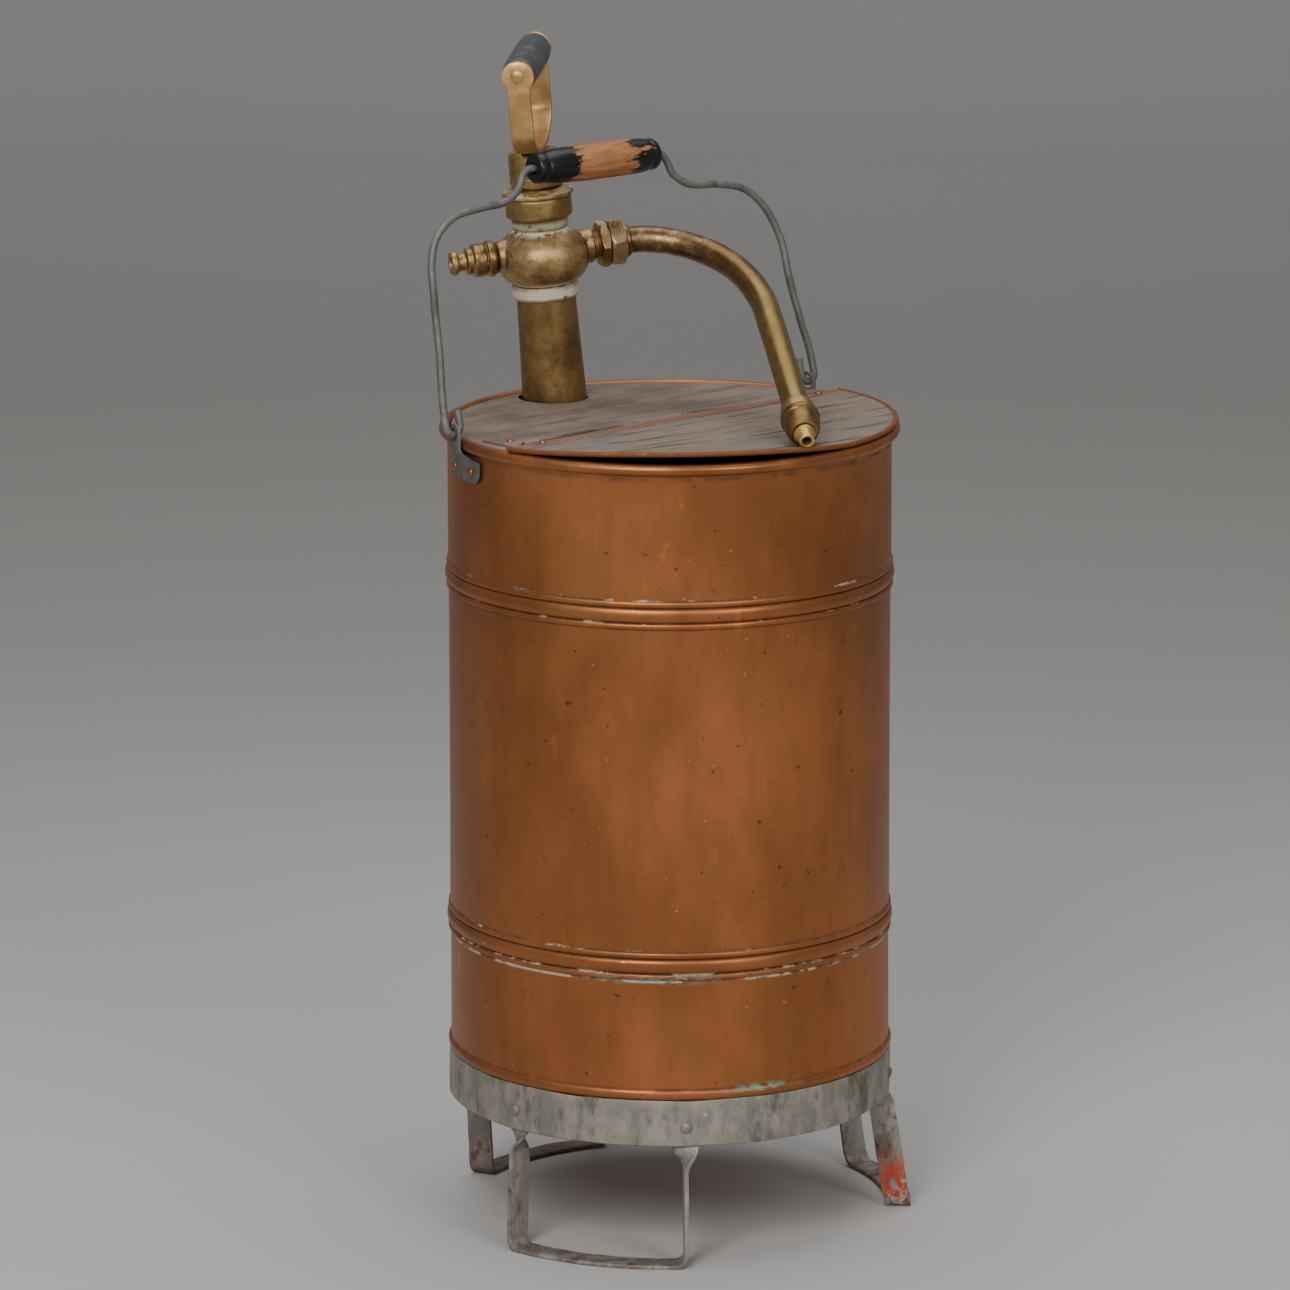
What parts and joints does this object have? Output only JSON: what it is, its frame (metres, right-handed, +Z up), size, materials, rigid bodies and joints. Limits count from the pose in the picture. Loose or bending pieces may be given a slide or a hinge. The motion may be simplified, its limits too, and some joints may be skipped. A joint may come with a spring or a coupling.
{
  "type": "hand pump sprayer tank",
  "caption": "Copper cylinder tank on strap feet with a hinged half lid, a wire carrying bail, and a brass plunger pump with a swivelling curved spout.",
  "frame": {"origin": "middle of the whole part's footprint, on the floor under the feet", "axes": "+Z up; +X along the lid hinge, from the left ear to the right ear; +Y from the flap to the pump"},
  "size_m": [0.3228, 0.3222, 0.7945],
  "materials": {
    "copper": "aged brown copper sheet, streaked and dull, with green deposits in the grooves",
    "lid_sheet": "tinned sheet, grey and dusty, with dark streaks",
    "cast_brass": "cast brass, mottled, with pale deposits in the corners",
    "spout_brass": "drawn brass pipe, brown near the union and olive lower down",
    "handle_brass": "bright worn brass",
    "inner_brass": "machined brass inside the pump",
    "galvanised_steel": "old galvanised steel, grey and mottled",
    "iron": "rusty iron wire",
    "turned_wood": "turned wood with worn black paint at its ends",
    "black_wood": "dark slate painted wood, worn at the edges",
    "leather": "oiled leather"
  },
  "bodies": {
    "tank": {"tank_shell": "copper", "rim_wire": "iron", "tank_bottom": "copper", "base_band": "galvanised_steel", "foot_front": "galvanised_steel", "foot_right": "galvanised_steel", "foot_rear": "galvanised_steel", "foot_rivet_front_1": "galvanised_steel", "foot_rivet_front_2": "galvanised_steel", "foot_rivet_right_1": "galvanised_steel", "foot_rivet_right_2": "galvanised_steel", "foot_rivet_rear_1": "galvanised_steel", "foot_rivet_rear_2": "galvanised_steel", "lid_rear": "lid_sheet", "hinge_leaf": "lid_sheet", "hinge_pin": "iron", "leaf_rivet_1": "copper", "leaf_rivet_2": "copper", "ear_left": "galvanised_steel", "ear_right": "galvanised_steel", "ear_rivet_left_1": "copper", "ear_rivet_left_2": "copper", "ear_rivet_right_1": "copper", "ear_rivet_right_2": "copper", "pump_barrel": "cast_brass", "pump_collar": "cast_brass", "pump_head": "cast_brass", "gland_nut": "cast_brass", "gland_packing": "leather", "hose_tail": "cast_brass", "lock_nut": "cast_brass", "foot_valve_seat": "inner_brass"},
    "flap": {"lid_flap": "lid_sheet", "flap_rivet_1": "copper", "flap_rivet_2": "copper"},
    "bail": {"bail_wire": "galvanised_steel"},
    "bail_roller": {"bail_grip": "turned_wood"},
    "piston": {"piston_body": "inner_brass", "piston_cup": "leather", "piston_washer": "inner_brass", "piston_nut": "inner_brass"},
    "pump_handle": {"pump_rod": "cast_brass", "rod_boss": "cast_brass", "handle_yoke": "handle_brass", "handle_pin": "handle_brass"},
    "handle_roller": {"handle_grip": "black_wood"},
    "spout": {"union_nut": "cast_brass", "spout_ferrule": "spout_brass", "spout_pipe": "spout_brass", "nozzle_collar": "spout_brass", "nozzle_cap": "spout_brass", "nozzle_tip": "spout_brass"},
    "foot_valve": {"foot_valve_ball": "inner_brass"}
  },
  "joints": [
    {"name": "pump_stroke", "type": "slide", "parent": "tank", "child": "piston", "axis": [-0.0915, 0.0139, 0.9957], "range_m": [0, 0.2]},
    {"name": "rod_turn", "type": "hinge", "parent": "piston", "child": "pump_handle", "pos_m": [0.00183, 0.11541, 0.547], "axis": [-0.0915, 0.0139, 0.9957], "continuous": true},
    {"name": "handle_grip_spin", "type": "hinge", "parent": "pump_handle", "child": "handle_roller", "pos_m": [-0.01963, 0.11867, 0.78049], "axis": [0.7515, 0.657, 0.0599], "continuous": true},
    {"name": "bail_swing", "type": "hinge", "parent": "tank", "child": "bail", "pos_m": [-0.00026, 0.03199, 0.5518], "axis": [-0.9972, 0.0744, 0], "range_deg": [-80, 0]},
    {"name": "bail_grip_spin", "type": "hinge", "parent": "bail", "child": "bail_roller", "pos_m": [-0.00021, 0.07299, 0.71578], "axis": [0.9972, -0.0744, 0], "continuous": true},
    {"name": "spout_swivel", "type": "hinge", "parent": "tank", "child": "spout", "pos_m": [0.04696, 0.0878, 0.65448], "axis": [-0.8792, 0.4683, -0.0873], "range_deg": [0, 76]},
    {"name": "flap_hinge", "type": "hinge", "parent": "tank", "child": "flap", "pos_m": [-0.00307, -0.00969, 0.5504], "axis": [-1, 0, 0], "range_deg": [0, 91]},
    {"name": "foot_valve_lift", "type": "slide", "parent": "tank", "child": "foot_valve", "axis": [-0.0915, 0.0139, 0.9957], "range_m": [0, 0.004]}
  ],
  "couplings": [
    {"joint": "flap_hinge", "follows": "spout_swivel", "ratio": 1.1842}
  ]
}
